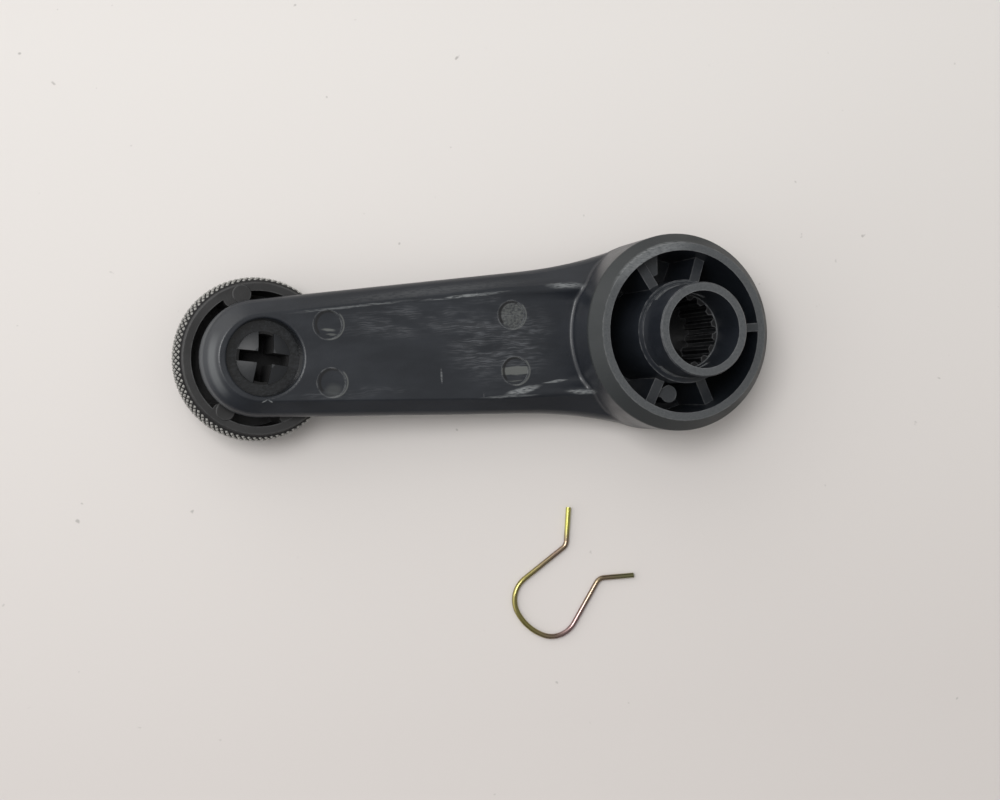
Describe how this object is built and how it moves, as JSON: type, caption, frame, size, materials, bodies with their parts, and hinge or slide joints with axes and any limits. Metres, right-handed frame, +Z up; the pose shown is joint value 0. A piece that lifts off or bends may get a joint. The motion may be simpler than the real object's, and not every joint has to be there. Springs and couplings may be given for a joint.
{
  "type": "window winder crank handle",
  "caption": "Moulded window winder: cupped hub with a splined shaft boss, tapering arm, turning knob pressed into it and the omega wire clip that locks it on its shaft.",
  "frame": {"origin": "on the shaft axis, in the plane of the hub's rim", "axes": "+X from the knob to the hub along the arm, +Z up as it lies face down; the shaft axis leans 6.09 degrees from +Z towards +X, and the door side faces up"},
  "size_m": [0.1519, 0.1035, 0.0398],
  "materials": {
    "arm_plastic": "fine moulded satin, charcoal black, with faint flow marks and scuffed edges",
    "knob_plastic": "moulded satin, charcoal black, knurled grip",
    "zinc_wire": "yellow passivated zinc plate, slightly iridescent"
  },
  "bodies": {
    "arm": {"crank_arm": "arm_plastic", "retaining_clip": "zinc_wire"},
    "knob": {"knob": "knob_plastic"}
  },
  "joints": [
    {"name": "knob_spin", "type": "hinge", "parent": "arm", "child": "knob", "pos_m": [-0.10631, 0, -0.00666], "axis": [0.1061, 0, 0.9944], "continuous": true}
  ]
}
